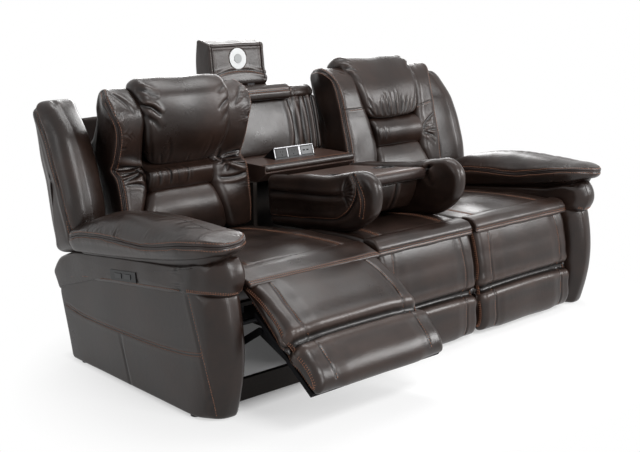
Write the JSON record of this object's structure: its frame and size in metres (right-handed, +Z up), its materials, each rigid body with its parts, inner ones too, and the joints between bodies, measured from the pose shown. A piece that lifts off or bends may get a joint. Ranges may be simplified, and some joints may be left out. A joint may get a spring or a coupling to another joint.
{
  "type": "power reclining sofa with drop-down console",
  "caption": "Wide leather sofa whose end seats recline with swinging footrests and tilting headrests, and whose middle back folds down into a table with cup holders.",
  "frame": {"origin": "on the floor, under the middle of the whole sofa as it stands in the picture", "axes": "+X across the sofa to the sitter's left, -Y the way the seats face, +Z up"},
  "size_m": [2.336, 1.5525, 1.234],
  "materials": {
    "leather": "soft semi-gloss bonded leather, dark brown, fine grain, contrast stitching",
    "table_surface": "smooth leather-look table top, satin",
    "back_fabric": "plain woven-backed vinyl on the rear faces, matt",
    "frame_wood": "bare plywood",
    "steel_black": "black powder coat, satin",
    "glide_plastic": "black moulded",
    "cup_metal": "dull metal",
    "switch_plastic": "black satin",
    "rocker_plastic": "dark grey matt",
    "outlet_plastic": "silver-grey moulded, with black outlets",
    "lens_white": "white translucent ring",
    "button_grey": "grey matt"
  },
  "bodies": {
    "base": {"base_frame": "frame_wood", "floor_glides": "glide_plastic", "seat_boards": "frame_wood", "rear_covers": "back_fabric", "arm_cover_left": "leather", "arm_cover_right": "leather", "arm_pad_left": "leather", "arm_pad_right": "leather", "switch_panels": "switch_plastic", "seat_cushion_left": "leather", "seat_cushion_right": "leather", "seat_cushion_middle": "leather", "middle_front_pad": "leather", "mechanism_plates": "steel_black", "recline_motors": "steel_black", "middle_back_board": "frame_wood", "well_panel": "leather", "top_cap": "leather", "power_shelf": "leather"},
    "footrest_left": {"footrest_pad_left": "leather", "footrest_board_left": "frame_wood", "footrest_brackets_left": "steel_black"},
    "crank_left": {"drive_crank_left": "steel_black"},
    "links_left": {"push_links_left": "steel_black"},
    "back_left": {"back_board_left": "frame_wood", "back_cover_left": "back_fabric", "back_panel_left": "leather", "back_bolsters_left": "leather", "back_brackets_left": "steel_black", "wing_left": "leather"},
    "headrest_left": {"headrest_board_left": "frame_wood", "head_pillow_left": "leather", "head_bolsters_left": "leather"},
    "recline_switch_left": {"recline_switch_left": "rocker_plastic"},
    "headrest_switch_left": {"headrest_switch_left": "rocker_plastic"},
    "footrest_right": {"footrest_pad_right": "leather", "footrest_board_right": "frame_wood", "footrest_brackets_right": "steel_black"},
    "crank_right": {"drive_crank_right": "steel_black"},
    "links_right": {"push_links_right": "steel_black"},
    "back_right": {"back_board_right": "frame_wood", "back_cover_right": "back_fabric", "back_panel_right": "leather", "back_bolsters_right": "leather", "back_brackets_right": "steel_black", "wing_right": "leather"},
    "headrest_right": {"headrest_board_right": "frame_wood", "head_pillow_right": "leather", "head_bolsters_right": "leather"},
    "recline_switch_right": {"recline_switch_right": "rocker_plastic"},
    "headrest_switch_right": {"headrest_switch_right": "rocker_plastic"},
    "console": {"console_frame": "frame_wood", "console_bolsters": "leather", "console_cushion": "leather", "console_table": "table_surface", "cup_holders": "cup_metal"},
    "power_strip": {"power_strip": "outlet_plastic"},
    "lamp": {"lamp_head": "leather", "lamp_lens": "lens_white"},
    "lamp_button": {"lamp_button": "button_grey"}
  },
  "joints": [
    {"name": "footrest_swing_left", "type": "hinge", "parent": "base", "child": "footrest_left", "pos_m": [-0.6245, -0.4, 0.525], "axis": [-1, 0, 0], "range_deg": [-45, 36]},
    {"name": "drive_crank_left", "type": "hinge", "parent": "base", "child": "crank_left", "pos_m": [-0.6245, -0.1, 0.33], "axis": [-1, 0, 0], "range_deg": [-45, 36]},
    {"name": "push_links_left", "type": "hinge", "parent": "crank_left", "child": "links_left", "pos_m": [-0.6245, -0.16576, 0.11999], "axis": [-1, 0, 0], "range_deg": [-36, 45]},
    {"name": "back_recline_left", "type": "hinge", "parent": "base", "child": "back_left", "pos_m": [-0.6245, 0.47, 0.26], "axis": [-1, 0, 0], "range_deg": [0, 25]},
    {"name": "headrest_tilt_left", "type": "hinge", "parent": "back_left", "child": "headrest_left", "pos_m": [-0.6245, 0.54336, 0.82036], "axis": [1, 0, 0], "range_deg": [-38, 7]},
    {"name": "recline_rocker_left", "type": "hinge", "parent": "base", "child": "recline_switch_left", "pos_m": [-1.1315, 0.05323, 0.43878], "axis": [0, 0.1219, 0.9925], "range_deg": [-5, 5], "stiffness_Nm_per_rad": 0.5},
    {"name": "headrest_rocker_left", "type": "hinge", "parent": "base", "child": "headrest_switch_left", "pos_m": [-1.1315, 0.11477, 0.43122], "axis": [0, 0.1219, 0.9925], "range_deg": [-5, 5], "stiffness_Nm_per_rad": 0.5},
    {"name": "footrest_swing_right", "type": "hinge", "parent": "base", "child": "footrest_right", "pos_m": [0.6245, -0.4, 0.525], "axis": [-1, 0, 0], "range_deg": [0, 81]},
    {"name": "drive_crank_right", "type": "hinge", "parent": "base", "child": "crank_right", "pos_m": [0.6245, -0.1, 0.33], "axis": [-1, 0, 0], "range_deg": [0, 81]},
    {"name": "push_links_right", "type": "hinge", "parent": "crank_right", "child": "links_right", "pos_m": [0.6245, 0.002, 0.135], "axis": [-1, 0, 0], "range_deg": [-81, 0]},
    {"name": "back_recline_right", "type": "hinge", "parent": "base", "child": "back_right", "pos_m": [0.6245, 0.47, 0.26], "axis": [-1, 0, 0], "range_deg": [0, 25]},
    {"name": "headrest_tilt_right", "type": "hinge", "parent": "back_right", "child": "headrest_right", "pos_m": [0.6245, 0.54336, 0.82036], "axis": [1, 0, 0], "range_deg": [0, 45]},
    {"name": "recline_rocker_right", "type": "hinge", "parent": "base", "child": "recline_switch_right", "pos_m": [1.1315, 0.05323, 0.43878], "axis": [0, 0.1219, 0.9925], "range_deg": [-5, 5], "stiffness_Nm_per_rad": 0.5},
    {"name": "headrest_rocker_right", "type": "hinge", "parent": "base", "child": "headrest_switch_right", "pos_m": [1.1315, 0.11477, 0.43122], "axis": [0, 0.1219, 0.9925], "range_deg": [-5, 5], "stiffness_Nm_per_rad": 0.5},
    {"name": "console_fold", "type": "hinge", "parent": "base", "child": "console", "pos_m": [0, 0.136, 0.56], "axis": [-1, 0, 0], "range_deg": [0, 88]},
    {"name": "power_strip_flap", "type": "hinge", "parent": "base", "child": "power_strip", "pos_m": [0, 0.5, 0.7], "axis": [1, 0, 0], "range_deg": [0, 36]},
    {"name": "lamp_fold", "type": "hinge", "parent": "base", "child": "lamp", "pos_m": [-0.122, 0.661, 1.036], "axis": [1, 0, 0], "range_deg": [0, 85]},
    {"name": "lamp_button_press", "type": "slide", "parent": "lamp", "child": "lamp_button", "axis": [0, 0.9938, -0.1114], "range_m": [0, 0.0015], "stiffness_N_per_m": 500}
  ],
  "couplings": [
    {"joint": "drive_crank_left", "follows": "footrest_swing_left", "ratio": 1},
    {"joint": "push_links_left", "follows": "footrest_swing_left", "ratio": -1},
    {"joint": "drive_crank_right", "follows": "footrest_swing_right", "ratio": 1},
    {"joint": "push_links_right", "follows": "footrest_swing_right", "ratio": -1}
  ]
}
